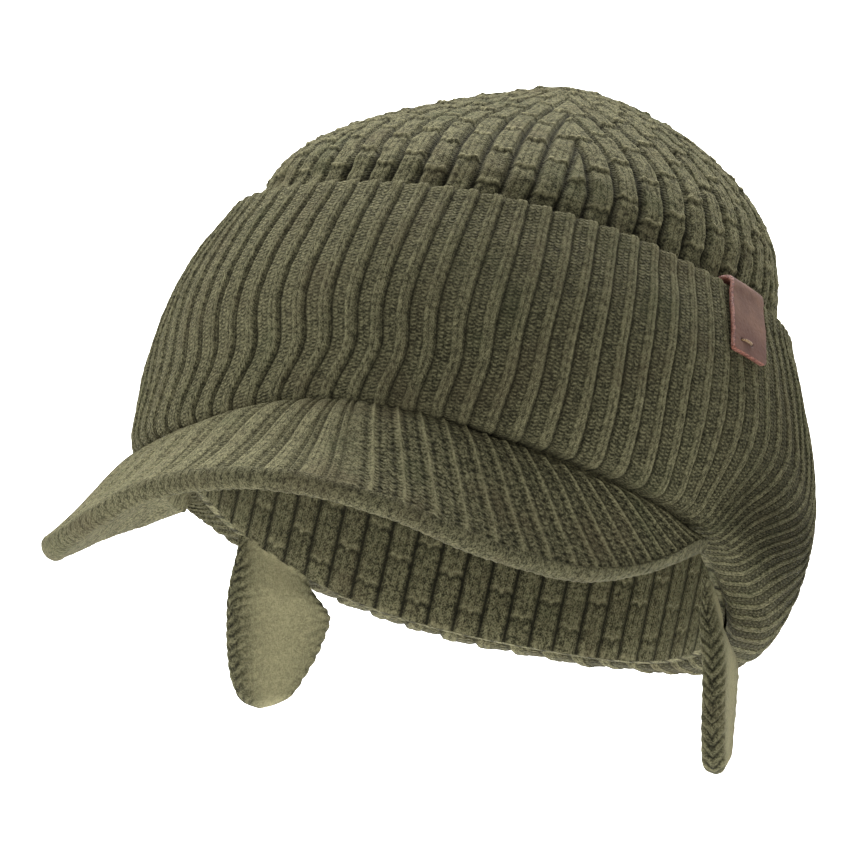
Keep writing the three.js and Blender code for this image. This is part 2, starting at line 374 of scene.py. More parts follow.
def halved(outer_ring, inner_ring):
    """Corner pairs of triangles that join a ring to one with half as many columns."""
    a, b = outer_ring, inner_ring
    j = np.arange(len(b) - 1)
    return (
        (a[2 * j], a[2 * j + 1], b[j]),
        (a[2 * j + 1], b[j + 1], b[j]),
        (a[2 * j + 1], a[2 * j + 2], b[j + 1]),
    )


def make_crown(material):
    fabric = Fabric()
    foot_down = float(down_at(CROWN_SHOWN_FROM))
    steps = int(foot_down / CROWN_STEP)
    downs = np.linspace(foot_down, foot_down / steps, steps)
    reach = np.interp(downs, PROFILE_DOWN, along(CROWN, "wide", PROFILE_UP))
    halvings = np.clip(np.floor(np.log2(76 / np.minimum(reach, downs))), 0, 4).astype(int)

    def ring(count):
        return FIRST_DART + np.arange(count) / count * TURN

    rings = []
    for share in (0, 0.03, 0.1, 0.3, 0.6, 0.85):
        angle = ring(CROWN_COLUMNS)
        up = lerp(hem(turned(angle)), CROWN_SHOWN_FROM, share)
        rings.append((angle, down_at(up)))
    for halving, down in zip(halvings, downs):
        angle = ring(CROWN_COLUMNS // 2**halving)
        rings.append((angle, np.full(len(angle), down)))
    numbered = []
    for angle, down in rings:
        gore = np.floor((angle - FIRST_DART) / GORE_WIDTH + 1e-6)
        rib = crown_rib(angle, down, gore)
        sway = 0.05 * unevenness(crown_surface(angle, down), 9, 4)
        at = angle + CROWN_TWIST * np.clip((down - 30) / 75, 0, 1)
        surface = crown_surface(at, down)
        bumps = 0.3 * unevenness(surface, 5, 1) + 0.18 * unevenness(surface, 1.7, 9)
        relief = np.maximum(crown_relief(rib + sway, down) + bumps, -CROWN_WALL + 0.4)
        relief = lerp(relief, -0.5, smoothstep(down, foot_down + 2, foot_down + 10))
        normal = outward(crown_surface, at, down, 0.01, 0.4)
        numbered.append(fabric.put(surface + normal * relief[..., None]))
    top = fabric.put(TOP[None] - AXIS * 0.5)[0]

    def corners(index, gore):
        """Numbers, ribs and courses of one gore's stretch of a ring, with both its ends."""
        angle, down = rings[index]
        count = len(angle) // CROWN_GORES
        at = (gore * count + np.arange(count + 1)) % len(angle)
        span = FIRST_DART + gore * GORE_WIDTH + np.arange(count + 1) / count * GORE_WIDTH
        return numbered[index][at], crown_rib(span, down[at], gore), down[at] / COURSE

    for gore in range(CROWN_GORES):
        for index in range(len(rings) - 1):
            lower, upper = corners(index, gore), corners(index + 1, gore)
            if len(lower[0]) == len(upper[0]):
                fabric.grid(*(np.stack([l, u]) for l, u in zip(lower, upper)))
            else:
                triples = [halved(l, u) for l, u in zip(lower, upper)]
                for number, rib, course in zip(*triples):
                    fabric.fill(number, rib, course)
        number, rib, course = corners(len(rings) - 1, gore)
        middle = np.full(len(number) - 1, gore * GORE_RIBS + 0.5)
        fabric.fill(
            (number[:-1], number[1:], np.full(len(middle), top)),
            (rib[:-1], rib[1:], middle),
            (course[:-1], course[1:], middle * 0),
        )
    crown_inside(fabric, rings[0], numbered[0])
    return fabric.mesh("crown_knit", material)


def crown_inside(fabric, foot, foot_numbers):
    """The crown's inner face, and its hem joined to the outer face's first ring."""
    angle, foot_down = foot
    half = angle[::2] + CROWN_TWIST
    downs = [foot_down[::2] * share for share in np.linspace(1, 0.03, INSIDE_RINGS)]
    rings = []
    for down in downs:
        normal = outward(crown_surface, half, down, 0.01, 0.4)
        share = half / TURN * CROWN_RIBS
        ribs = 0.25 * np.cos(TURN * share) * smoothstep(down, 10, 40)
        rings.append(fabric.put(crown_surface(half, down) - normal * (CROWN_WALL + ribs)[..., None]))
    rib = np.append(half, half[0] + TURN) / TURN * CROWN_RIBS
    fabric.grid(closed(np.stack(rings)), rib, closed(np.stack(downs)) / COURSE, flip=True)
    count = len(half)
    top = fabric.put(TOP[None] - AXIS * CROWN_WALL)[0]
    ends = closed(rings[-1])
    flat = np.zeros(count)
    corners = (ends[1:], ends[:-1], np.full(count, top))
    fabric.fill(corners, (flat, flat + 0.5, flat), (flat, flat, flat + 1))
    outer, inner = closed(foot_numbers), closed(rings[0])
    wide = np.append(angle, angle[0] + TURN) / TURN * CROWN_RIBS
    heights = closed(foot_down) / COURSE
    pairs = ((outer, inner), (wide, wide[::2]), (heights, heights[::2] + 2))
    for number, rib, course in zip(*(halved(*pair) for pair in pairs)):
        fabric.fill(number[::-1], rib[::-1], course[::-1])


# Cuff

CUFF_ROW_STEP = 1.4
SIDE_ANGLES = (1.15, 1.75)  # from here round to the back its ribs stand out as cords
CUFF_DEPTH = 1.2  # from the top of a rib to the bottom of the groove beside it
CUFF_CORDS = 1.8  # how many times as deep the grooves are there
CUFF_BEND = 0.048  # how far round the ribs on the right front bend above the fold
LIP_TURN = np.radians([35, 65, 90, 115, 145])  # points round the loose edge
INNER_ROWS = np.array([0.1, 0.5, 1, 1.5, 2, 3, 4, 5, 6, 7, 8, 9, 10, 11])


def cuff_point(angle, row, inner=False):
    """Point of the cuff's outer face, or of its inner face a wall further in and above the fold."""
    rearward = (1 - np.cos(angle)) / 2
    front, rear, share, wall = (along(CUFF, name, row) for name in ("front", "rear", "share", "wall"))
    out = lerp(front, rear, rearward)
    if inner:
        share = np.maximum(share, CUFF_FOLD)
        out = np.maximum(out - wall, GAP)
    return crown_point(angle, lerp(low(angle), high(angle), share), out)


def cuff_foot(angle):
    """Where the foot of a rib is gathered to, for the angle at which it stands above."""
    degrees = np.degrees(angle)
    return np.sign(degrees) * np.radians(along(GATHER, "foot", np.abs(degrees)))


def rib_angles(ribs):
    """Angles from the front for rib coordinates from 0 at the back, evenly spaced along the cuff."""
    turn = np.linspace(-math.pi, math.pi, 721)
    length = arc_length(cuff_point(turn, np.full(turn.shape, 4.0)))
    return np.interp(ribs / CUFF_RIBS, length / length[-1], turn)


def cuff_profile():
    """Rows down the cuff's outer face, evenly spaced, with their distance from its top edge."""
    rows = np.linspace(0.1, CUFF["row"][-1], 400)
    lines = [cuff_point(np.full(rows.shape, angle), rows) for angle in (0.0, 1.5, 3.0)]
    length = np.mean([arc_length(line) for line in lines], axis=0)
    at = np.linspace(0, length[-1], int(length[-1] / CUFF_ROW_STEP))
    return np.interp(at, length, rows), at


def make_cuff(material):
    fabric = Fabric()
    columns = CUFF_RIB["share"][:-1]
    rib = (np.arange(CUFF_RIBS)[:, None] + columns).ravel()
    profile = np.tile(CUFF_RIB["height"][:-1], CUFF_RIBS)
    straight = rib_angles(rib)
    rows, lengths = cuff_profile()
    share = along(CUFF, "share", rows)
    gathered = smoothstep(0.5 - share, 0.0, 0.5)[:, None]
    sway = 0.006 * np.sin(rib * 0.9 + 1) * np.sin(lengths[:, None] / 21 + rib * 0.13)
    bend = CUFF_BEND * hump(share - 0.25, 0.14)[:, None] * (1 - smoothstep(np.degrees(straight), -20, 60))
    angle = lerp(straight, cuff_foot(straight), gathered) + sway + bend
    depth = CUFF_DEPTH * lerp(0.4, 1, smoothstep(lengths, 0, 7) * smoothstep(share, -0.05, 0.12))
    sideways = smoothstep(np.abs(straight), *SIDE_ANGLES)
    relief = (profile - 1) * depth[:, None] * lerp(1, CUFF_CORDS, sideways)
    base = cuff_point(angle, rows[:, None])
    fade = np.clip((CUFF["row"][-1] - rows) / 2, 0, 1)[:, None]
    normal = outward(cuff_point, angle, rows[:, None], 0.01, 0.05)
    bumps = 0.3 * unevenness(base, 14, 2) + 0.14 * unevenness(base, 1.9, 8)
    outer = base + normal * ((relief + bumps) * fade)[..., None]
    lip = LIP_TURN[:, None]
    foot = lerp(straight, cuff_foot(straight), np.interp(INNER_ROWS, rows, gathered[:, 0])[:, None])
    inner = cuff_point(foot, INNER_ROWS[:, None], inner=True)
    over = (1 - np.cos(lip))[..., None] / 2
    crest = np.sin(lip) * (1.4 + (profile - 1) * 1.2)
    rim = lerp(outer[0], inner[0], over) + AXIS * crest[..., None]
    grid = np.concatenate([inner[::-1], rim[::-1], outer])
    down = np.concatenate([-9 - INNER_ROWS[::-1] * 8, -np.linspace(6, 1, len(lip)), lengths])
    numbers = fabric.put(grid)
    ribs = np.append(rib, CUFF_RIBS)
    fabric.grid(closed(numbers), ribs, (down / COURSE)[:, None], flip=True)
    fabric.grid(closed(numbers[[-1, 0]]), ribs, 0, flip=True)
    return fabric.mesh("cuff_knit", material)


# Peak

# Ribs of the peak's knit, counted from its right corner: where each leaves the seam and reaches the edge,
# as shares across the peak. They are bunched at the seam right of the middle and fan out on the right wing.
PEAK_RIBS = table(
    "rib seam edge",
    (0, -1, -1), (5, -0.6, -0.56), (9, -0.26, -0.2), (10, -0.17, -0.12), (11, -0.06, -0.05),
    (12, 0.02, 0.025), (13, 0.07, 0.095), (14, 0.105, 0.16), (15, 0.135, 0.225), (16, 0.18, 0.29),
    (18, 0.275, 0.4), (20, 0.37, 0.51), (24, 0.54, 0.695), (28, 0.715, 0.85), (31, 0.86, 0.95),
    (34, 1, 1),
)
PEAK_RIB_COLUMNS = (0, 0.06, 0.13, 0.2, 0.28, 0.36, 0.43, 0.5, 0.57, 0.64, 0.72, 0.8, 0.87, 0.94)
PEAK_FLAT_ROWS = 76
PEAK_RIM_ROWS = 11  # from the flat part to the outermost row
PEAK_RIM_FROM = 0.93  # share of the way out at which its rounded rim starts
PEAK_RISE = 4.2  # how far its top swells against the cuff's fold
PEAK_PRESSED = 1.2  # how far its seam edge is pressed up into the fold
UNDERSIDE = 100  # what the rib coordinate gains on the peak's underside
RIM = 400  # what the course coordinate gains on its rounded rim


def peak_middle(across, out):
    """Point of the peak's middle surface at a share across it and a share of the way out to its edge."""
    angle = across * PEAK["spread"]
    root = crown_point(angle, low(angle) - PEAK["wall"] / 2 + 0.3, PEAK["root"])
    side, ahead, up = (along(PEAK_EDGE, name, across) for name in ("side", "ahead", "up"))
    point = lerp(root, np.stack([side, -ahead, up], -1), out[..., None])
    point[..., 2] += PEAK["belly"] * 6.75 * out * (1 - out) ** 2 * (1 - across**6)
    return point


def peak_relief(rib, down, out, edge_length):
    """How far its knit stands out: cords and flat panels on the right wing, fine lines and purl elsewhere."""
    share = rib - np.floor(rib)
    away = np.minimum(share, 1 - share)
    cords = 1 - smoothstep(rib, 14.6, 16.4)
    cord = 0.5 * hump(away, 0.07) - 0.8 * hump(away - 0.13, 0.05) + 0.4 * smoothstep(away, 0.2, 0.3)
    holes = hump(away - 0.3, 0.09) * (0.5 + 0.5 * np.cos(TURN * down / (1.85 * COURSE)))
    line = 0.55 * hump(away, 0.055) + 0.15 * hump(away - 0.5, 0.07) - 0.4 * holes
    ribs = lerp(line, cord, cords) * smoothstep(down, 0, 8)
    chevron = 0.14 * np.cos(TURN * (edge_length / 3.4 + 9 * np.abs(out - 0.965)))
    rim = smoothstep(out, 0.9, 0.93)
    return lerp(ribs, 0.45 + chevron, rim) - 0.35 * hump(out - 0.91, 0.01) - 0.8


def make_peak(material):
    fabric = Fabric()
    count = int(PEAK_RIBS["rib"][-1])
    rib = np.append((np.arange(count)[:, None] + np.array(PEAK_RIB_COLUMNS)).ravel(), count)
    seam, edge = along(PEAK_RIBS, "seam", rib), along(PEAK_RIBS, "edge", rib)
    flat = np.linspace(0, PEAK_RIM_FROM, PEAK_FLAT_ROWS)
    turn = np.linspace(0, math.pi / 2, PEAK_RIM_ROWS + 1)[1:]
    out = np.concatenate([flat, lerp(PEAK_RIM_FROM, 1, np.sin(turn))])
    sign = np.ones(len(out))
    back = np.concatenate([out[-2 : PEAK_FLAT_ROWS - 1 : -1], flat[::-2]])
    out = np.concatenate([out, back])[:, None]
    sign = np.concatenate([sign, -np.ones(len(back))])[:, None]
    across = lerp(seam, edge, smoothstep(out, -0.2, 1.0))
    middle = peak_middle(across, out)
    up = outward(peak_middle, across, out, 1e-3, 1e-3)
    up *= np.sign(up[..., 2:])
    wall = PEAK["wall"] * lerp(0.6, 1, rounded(np.abs(across), 0.9))
    wall = wall * lerp(1, 1.35, smoothstep(-across, 0.35, 0.75))
    half = wall / 2 * rounded(out, PEAK_RIM_FROM)
    base = middle + up * (sign * half)[..., None]
    down = np.cumsum(np.linalg.norm(np.diff(base, axis=0, prepend=base[:1]), axis=-1), axis=0)
    swell = PEAK_RISE * smoothstep(down, 4, 11.5) * (1 - smoothstep(down, 14, 38)) * (1 - across**6)
    pressed = PEAK_PRESSED * (1 - smoothstep(down, 3, 11))
    base = base + AXIS * ((swell + pressed) * (sign > 0))[..., None]
    rim = arc_length(peak_middle(edge, np.ones(edge.shape)))
    relief = peak_relief(rib, down, out, rim)
    under = 0.15 * np.cos(TURN * rib) - 0.25
    relief = np.where(sign > 0, relief, lerp(under, relief, smoothstep(out, 0.9, 0.94)))
    ends = smoothstep(np.minimum(rib, count - rib), 0, 0.5) * np.where(sign > 0, smoothstep(down, 0, 8), 1)
    relief = relief * ends + 0.15 * unevenness(base, 9, 3)
    points = base + normals(base) * relief[..., None]
    numbers = fabric.put(points)
    first = PEAK_FLAT_ROWS - 1
    last = first + 2 * PEAK_RIM_ROWS
    for rows, under, beyond in (
        (slice(0, first + 1), 0, 0),
        (slice(first, last + 1), 0, RIM),
        (slice(last, None), UNDERSIDE, 0),
    ):
        fabric.grid(numbers[rows], rib + under, down[rows] / COURSE + beyond, flip=True)
    fabric.grid(numbers[[-1, 0]], rib, 0, flip=True)
    for side in (numbers[::-1, :1], numbers[:, -1:]):
        fabric.fill(side, np.zeros(side.shape), np.zeros(side.shape))
    return fabric.mesh("peak_knit", material)


# Ear flaps

FLAP_LENGTH_ROWS = 150
FLAP_ROUND_COLUMNS = 96
FLAP_EDGE_FROM = 0.78  # share of the way from its middle line at which its edge rounds off
FLAP_TIP_FROM = 0.88  # share of the way down at which its tip rounds off
FLAP_TIP_ROWS = 0.8  # share of its rows that lies above the tip
FLAP_LAST = 0.9995  # share of the way down of its last row, which is closed
CHEVRON = 3.4  # height of one V of the stitches down the flap's edges


def flap_middle(side, across, down):
    """Point of a flap's middle surface, at shares from its front edge and down from the crown's hem."""
    angle = side * np.radians(lerp(FLAP["from"], FLAP["to"], across))
    root = crown_point(angle, hem(angle) - FLAP["drop"], -CROWN_WALL / 2)
    start, wide = (along(FLAP_OUTLINE, name, down) for name in ("start", "wide"))
    behind = start + wide * across
    x = side * (FLAP_END["side"] - math.sin(FLAP_END["toe_in"]) * behind)
    y = FLAP_END["back"] + math.cos(FLAP_END["toe_in"]) * behind
    z = lerp(root[..., 2], FLAP_END["bottom"], down)
    settled = smoothstep(down, 0, 0.45)
    return np.stack([lerp(root[..., 0], x, settled), lerp(root[..., 1], y, settled), z], -1)


def make_flap(name, side, material):
    fabric = Fabric()
    turn = np.arange(FLAP_ROUND_COLUMNS) / FLAP_ROUND_COLUMNS * TURN
    across = (1 - np.cos(turn)) / 2
    face = np.sign(np.sin(turn))
    row = np.linspace(0, 1, FLAP_LENGTH_ROWS)
    on_tip = (row - FLAP_TIP_ROWS) / (1 - FLAP_TIP_ROWS)
    beyond = FLAP_TIP_FROM + (FLAP_LAST - FLAP_TIP_FROM) * np.sin(on_tip * math.pi / 2)
    down = np.where(on_tip < 0, row / FLAP_TIP_ROWS * FLAP_TIP_FROM, beyond)
    across, down = np.broadcast_arrays(across, down[:, None])
    middle = flap_middle(side, across, down)
    left = outward(lambda a, d: flap_middle(side, a, np.maximum(d, 0)), across, down, 1e-3, 1e-3)
    left *= np.sign(left[..., :1])
    thick = lerp(CROWN_WALL, FLAP["wall"], smoothstep(down, 0, 0.3))
    at_edge = np.abs(2 * across - 1)
    full = rounded(at_edge, FLAP_EDGE_FROM)
    half = thick / 2 * full * rounded(down, FLAP_TIP_FROM)
    base = middle + left * (face * half)[..., None]
    rim = smoothstep(np.maximum(at_edge, smoothstep(down, 0.85, 1)), 0.74, 0.9)
    chevron = (middle[..., 2] - 4 * np.abs(face * full)) / CHEVRON
    chevrons = 0.24 * np.cos(TURN * chevron) * rim
    bumps = 0.12 * unevenness(base, 8, 5 + side) + 0.05 * unevenness(base, 2, 6)
    ends = smoothstep(down, 0, 0.05) * (1 - 0.85 * smoothstep(down, 0.86, 0.95))
    relief = (chevrons - 0.3 + bumps) * ends
    numbers = fabric.put(base + normals(base, around=True) * relief[..., None])
    fabric.grid(closed(numbers), np.append(turn / math.pi, 2.0), closed(chevron), flip=True)
    close_ring(fabric, numbers[0])
    close_ring(fabric, numbers[-1], turned_over=True)
    return fabric.mesh(name, material)


# Leather tab

TAB_STITCH = {"left": -0.6, "right": 0.02, "above_end": 4.2, "hole": 0.55, "thread": 0.42}
TAB_CORNER = 1.2
TAB_ROWS = 130
TAB_FACE = 41  # columns across its face
TAB_BACK = 15
TAB_CUT = np.radians([30, 60, 90, 120, 150])  # points round each cut edge
TAB_BACK_STRIP = 2.0  # coordinate across: -1 to 1 on the face, more on the cut edges, this on the back
THREAD_RINGS = 25
THREAD_SIDES = 14


def tab_point(across, row, face):
    """Point of the tab at -1 to 1 across it, along its path, and from its back (-1) to its face (1)."""
    before, after = ([along(TAB_PATH, name, row + by) for name in ("up", "out")] for by in (-0.05, 0.05))
    rise, away = after[0] - before[0], after[1] - before[1]
    run = np.maximum(np.hypot(rise, away), 1e-9)
    out = along(TAB_PATH, "out", row) - face * TAB["wall"] / 2 * rise / run
    up = along(TAB_PATH, "up", row) + face * TAB["wall"] / 2 * away / run
    narrowed = 1 - 0.1 * smoothstep(row, 7, 10)
    angle = TAB["angle"] + across * narrowed * TAB["width"] / 2 / TAB["radius"] + TAB["swing"] * up / 21
    return crown_point(angle, high(np.float64(TAB["angle"])) + up, out)


def tab_profile():
    """Rows evenly spaced along the tab, with their distance from its free end."""
    rows = np.linspace(0.06, TAB_PATH["row"][-1] - 0.06, 300)
    length = arc_length(tab_point(0 * rows, rows, 0))
    at = np.linspace(0, length[-1], TAB_ROWS)
    return np.interp(at, length, rows), length[-1] - at


def make_tab(material):
    fabric = Fabric()
    rows, to_end = tab_profile()
    corner = np.clip(TAB_CORNER - np.minimum(to_end, to_end[0] - to_end), 0, TAB_CORNER)
    drawn_in = (TAB_CORNER - np.sqrt(TAB_CORNER**2 - corner**2)) * 2 / TAB["width"]
    full = np.linspace(-1, 1, TAB_FACE)
    bulge = 1 + 0.05 * np.sin(TAB_CUT)
    across = np.concatenate([full, bulge, np.linspace(1, -1, TAB_BACK), -bulge])
    face = np.concatenate([np.ones(TAB_FACE), np.cos(TAB_CUT), -np.ones(TAB_BACK), -np.cos(TAB_CUT)])
    cut_strip = np.linspace(1.05, 1.4, len(TAB_CUT))
    strip = np.concatenate([full, cut_strip, np.full(TAB_BACK, TAB_BACK_STRIP)])
    grid_across = across[None] * (1 - drawn_in)[:, None]
    points = tab_point(grid_across, rows[:, None], face)
    beside = [grid_across - TAB_STITCH[end] for end in ("left", "right")]
    lengthwise = (to_end - TAB_STITCH["above_end"])[:, None]
    away = np.minimum(*(np.hypot(b * TAB["width"] / 2, lengthwise) for b in beside))
    dent = -0.7 * hump(away, TAB_STITCH["hole"]) * (face > 0.99)
    outward_way = unit(tab_point(grid_across, rows[:, None], face + 1) - points)
    rough = np.where(np.abs(face) < 0.99, 0.12, 0.03) * unevenness(points, 1.1, 7)
    numbers = fabric.put(points + outward_way * (dent + rough)[..., None])
    lengths = to_end[:, None]
    fabric.grid(numbers[:, : len(strip)], strip, lengths, flip=True)
    side = np.append(np.arange(len(strip) - 1, len(across)), 0)
    fabric.grid(numbers[:, side], (TAB_BACK_STRIP, 1.4, 1.3, 1.2, 1.15, 1.05, 1), lengths, flip=True)
    fan_cap(fabric, numbers[0])
    fan_cap(fabric, numbers[-1], turned_over=True)
    return fabric.mesh("tab_leather", material)


def fan_cap(fabric, ring, turned_over=False):
    """Closes an end with a fan round the middle of its ring of points."""
    points = np.concatenate(fabric.points)
    middle = fabric.put(points[ring].mean(axis=0)[None])[0]
    a, b = (np.roll(ring, -1), ring) if turned_over else (ring, np.roll(ring, -1))
    flat = [np.full(len(ring), 1.2)] * 3
    fabric.fill((a, b, np.full(len(ring), middle)), flat, flat)


def make_stitch(material):
    """The thread that shows between the two holes, a rounded bar that dips into both."""
    fabric = Fabric()
    rows, to_end = tab_profile()
    row = float(np.interp(-TAB_STITCH["above_end"], -to_end, rows))
    share = np.linspace(0, 1, THREAD_RINGS)
    across = lerp(TAB_STITCH["left"], TAB_STITCH["right"], share)
    lift = 0.45 * np.sin(math.pi * share) ** 0.5 - 0.5 * (1 - np.sin(math.pi * share)) ** 3
    face = tab_point(across, row, 1)
    outward_way = unit(tab_point(across, row, 2) - face)
    line = face + outward_way * lift[:, None]
    beside = np.cross(unit(np.gradient(line, axis=0)), outward_way)
    turn = np.arange(THREAD_SIDES) / THREAD_SIDES * TURN
    twist = 0.05 * np.cos(2 * turn[None] + share[:, None] * 30)
    radius = (TAB_STITCH["thread"] + twist) * lerp(0.75, 1, np.sin(math.pi * share)[:, None])
    rings = line[:, None] + radius[..., None] * (
        np.cos(turn)[None, :, None] * outward_way[:, None] + np.sin(turn)[None, :, None] * beside[:, None]
    )
    numbers = fabric.put(rings)
    fabric.grid(closed(numbers), np.append(turn, TURN), share[:, None] * 5)
    fan_cap(fabric, numbers[0], turned_over=True)
    fan_cap(fabric, numbers[-1])
    return fabric.mesh("tab_stitch", material)


# Materials


def set_inputs(node, values):
    for name, value in values.items():
        node.inputs[name].default_value = value


class Value:
    """A socket of a material's nodes that can be used in sums."""

    def __init__(self, tree, socket):
        self.tree, self.socket = tree, socket

    def math(self, operation, *others):
        node = self.tree.nodes.new("ShaderNodeMath")
        node.operation = operation
        for entry, value in zip(node.inputs, (self, *others)):
            if isinstance(value, Value):
                self.tree.links.new(value.socket, entry)
            else:
                entry.default_value = value
        return Value(self.tree, node.outputs[0])

    __add__ = partialmethod(math, "ADD")
    __sub__ = partialmethod(math, "SUBTRACT")
    __mul__ = partialmethod(math, "MULTIPLY")
    __truediv__ = partialmethod(math, "DIVIDE")
    share = partialmethod(math, "FRACT")
    whole = partialmethod(math, "FLOOR")
    abs = partialmethod(math, "ABSOLUTE")

    def wave(self):
        """A cosine with a period of 1, from -1 to 1."""
        return (self * TURN).math("COSINE")

    def rest(self):
        """What is left up to 1."""
        return self * -1 + 1

    def to_whole(self):
        """Distance to the nearest whole number."""
        return (self.share() - 0.5).abs() * -1 + 0.5

    def hump(self, width):
        """A smooth hump of height 1 where this is 0."""
        return ((self / width).math("POWER", 2) * -1).math("EXPONENT")

    def ramp(self, low, high):
        """0 below one value, 1 above another, and smooth between."""
        node = self.tree.nodes.new("ShaderNodeMapRange")
        node.interpolation_type = "SMOOTHSTEP"
        self.tree.links.new(self.socket, node.inputs["Value"])
        set_inputs(node, {"From Min": low, "From Max": high})
        return Value(self.tree, node.outputs["Result"])


class Look:
    """A material's nodes: a surface shader, and what feeds it."""

    def __init__(self, name, roughness, sheen=0.0, sheen_tint=(1, 1, 1), specular=0.5):
        self.material = bpy.data.materials.new(name)
        self.material.use_nodes = True
        self.tree = self.material.node_tree
        self.link = self.tree.links.new
        self.surface = self.tree.nodes["Principled BSDF"]
        sheens = {"Sheen Weight": sheen, "Sheen Roughness": 0.45, "Sheen Tint": (*sheen_tint, 1)}
        set_inputs(self.surface, {"Roughness": roughness, "Specular IOR Level": specular, **sheens})

    def stitches(self):
        """The rib and course coordinates."""
        node = self.tree.nodes.new("ShaderNodeUVMap")
        node.uv_map = "stitches"
        parts = self.tree.nodes.new("ShaderNodeSeparateXYZ")
        self.link(node.outputs["UV"], parts.inputs["Vector"])
        return Value(self.tree, parts.outputs["X"]), Value(self.tree, parts.outputs["Y"])

    def noise(self, size, detail=2.0, roughness=0.5, seed=0.0):
        """Noise from 0 to 1 with lumps of a size in metres."""
        place = self.tree.nodes.new("ShaderNodeTexCoord")
        node = self.tree.nodes.new("ShaderNodeTexNoise")
        node.noise_dimensions = "4D"
        set_inputs(node, {"W": seed, "Scale": 1 / size, "Detail": detail, "Roughness": roughness})
        self.link(place.outputs["Object"], node.inputs["Vector"])
        return Value(self.tree, node.outputs["Fac"])

    def mix(self, a, b, share):
        """A colour between two, each a fixed one or a socket, by a share that is a socket."""
        node = self.tree.nodes.new("ShaderNodeMix")
        node.data_type = "RGBA"
        for entry, value in ((node.inputs["A"], a), (node.inputs["B"], b)):
            if isinstance(value, Value):
                self.link(value.socket, entry)
            else:
                entry.default_value = (*value, 1)
        self.link(share.socket, node.inputs["Factor"])
        return Value(self.tree, node.outputs["Result"])

    def colour(self, value):
        self.link(value.socket, self.surface.inputs["Base Color"])

    def bump(self, height, depth):
        """Bumps the surface by a height from 0 to 1 times a depth in metres."""
        node = self.tree.nodes.new("ShaderNodeBump")
        set_inputs(node, {"Strength": 1.0, "Distance": depth})
        self.link(height.socket, node.inputs["Height"])
        self.link(node.outputs["Normal"], self.surface.inputs["Normal"])


def tone(code):
    """A colour from its web code, as the shader takes it."""
    parts = [int(code[i : i + 2], 16) / 255 for i in (1, 3, 5)]
    return tuple(p / 12.92 if p <= 0.04045 else ((p + 0.055) / 1.055) ** 2.4 for p in parts)


YARN_DARK = tone("#2f2f21")
YARN_LIGHT = tone("#8f8b69")
YARN_BROWN = tone("#5c4f3c")
YARN_GREEN = tone("#4a5238")
YARN_PALE = tone("#a8a27c")
SHADE = tone("#14140c")


def knit_look(name, stitch, depth):
    """Heathered olive yarn.

    `stitch` gives, from the look, the rib and the course, three values from 0 to 1: the height on the stitch,
    how much painted shade darkens a point and how much paler it is painted there, on raised parts as painted
    highlight.
    """
    look = Look(name, 0.95, sheen=0.22, sheen_tint=tone("#a8a27a"), specular=0.12)
    rib, course = look.stitches()
    speck = look.noise(0.0006, detail=3, roughness=0.7)
    strand = look.noise(0.0016, detail=2, seed=3.0)
    broad = look.noise(0.016, detail=2, seed=7.0)
    wander = look.noise(0.004, detail=1, seed=11.0)
    height, painted_shade, paler = stitch(look, rib, course + (wander - 0.5) * 1.2)
    # Painted highlight: the higher a point stands on its stitch, the lighter it is painted
    lightness = (speck - 0.5) * 3.7 + (strand - 0.5) * 1.8 + height * 0.4 + 0.2
    yarn = look.mix(YARN_DARK, YARN_LIGHT, lightness.ramp(-0.15, 1.15))
    yarn = look.mix(yarn, YARN_BROWN, broad.ramp(0.5, 0.75) * 0.35)
    yarn = look.mix(yarn, YARN_GREEN, (broad * -1).ramp(-0.45, -0.25) * 0.35)
    # Paler where the stitch gives it, on raised parts a painted highlight
    yarn = look.mix(yarn, YARN_PALE, paler)
    # Painted shade: the lower a point lies on its stitch, the darker it is painted
    yarn = look.mix(yarn, SHADE, height.rest() * 0.45)
    # Painted shade in grooves and other shaded places, as much as the stitch gives
    yarn = look.mix(yarn, SHADE, painted_shade)
    look.colour(yarn)
    look.bump(height + speck * 0.8 + strand * 0.5, depth)
    return look.material


def beads(across, course):
    """Interlocking purl bumps: across counts columns of them."""
    beside = (across.share() - 0.5).abs()
    rows = (course + across.whole() * 0.5 + beside * beside * 1.4).wave() * 0.5 + 0.5
    return rows * beside.hump(0.42)


def wales(across, course):
    """Smooth knit stitches: across counts columns of them."""
    arm = (across.share() - 0.5).abs()
    return (course - arm * 2.8).wave() * 0.14 + 0.78 - (arm - 0.5).abs().hump(0.1) * 0.35


def cuff_stitch(look, rib, course):
    """Two wales with painted highlights on their ridges, a groove in painted shade, and purl, at the shares
    that CUFF_RIB gives them.
    """
    share = rib.share()
    purl = share.ramp(0.4, 0.5)
    knit = wales(share * 5, course)
    bead = beads((share - 0.52) * 4.2, course)
    height = (knit - 0.04) * purl.rest() + (bead * 0.7 + 0.32) * purl
    start, end = (angle / TURN * CUFF_RIBS for angle in SIDE_ANGLES)
    sideways = (rib - CUFF_RIBS / 2).abs().ramp(start, end)
    serrated = course.wave() * 0.25 + 0.75
    # Painted highlight along the crests of the two wales
    ridges = ((share - 0.31).abs().hump(0.075) + (share - 0.1).abs().hump(0.07) * 0.7) * serrated
    # Painted shade in the groove between the knit and the purl
    groove = (share - 0.465).abs().hump(0.05) * 0.65
    rightward = rib.ramp(CUFF_RIBS / 2 - 8, CUFF_RIBS / 2 + 12)
    # Painted shade on the purl: more at the sides where the ribs stand out as cords, more on the right, and
    # between the beads
    dark = groove + purl * (sideways * 0.34 + rightward * 0.16 + bead.rest() * 0.12)
    # Painted highlight on the ridges, strongest on the right front, and on the purl bumps, mostly on the left
    paler = ridges * (rightward * (sideways * -0.13 + 0.2) + 0.06) + purl * bead * (rightward * -0.2 + 0.25)
    # Painted highlight along the rolled top edge
    top_edge_highlight = (course + 1).hump(1.8) * 0.22
    return height, dark.math("MINIMUM", 0.9), paler + top_edge_highlight


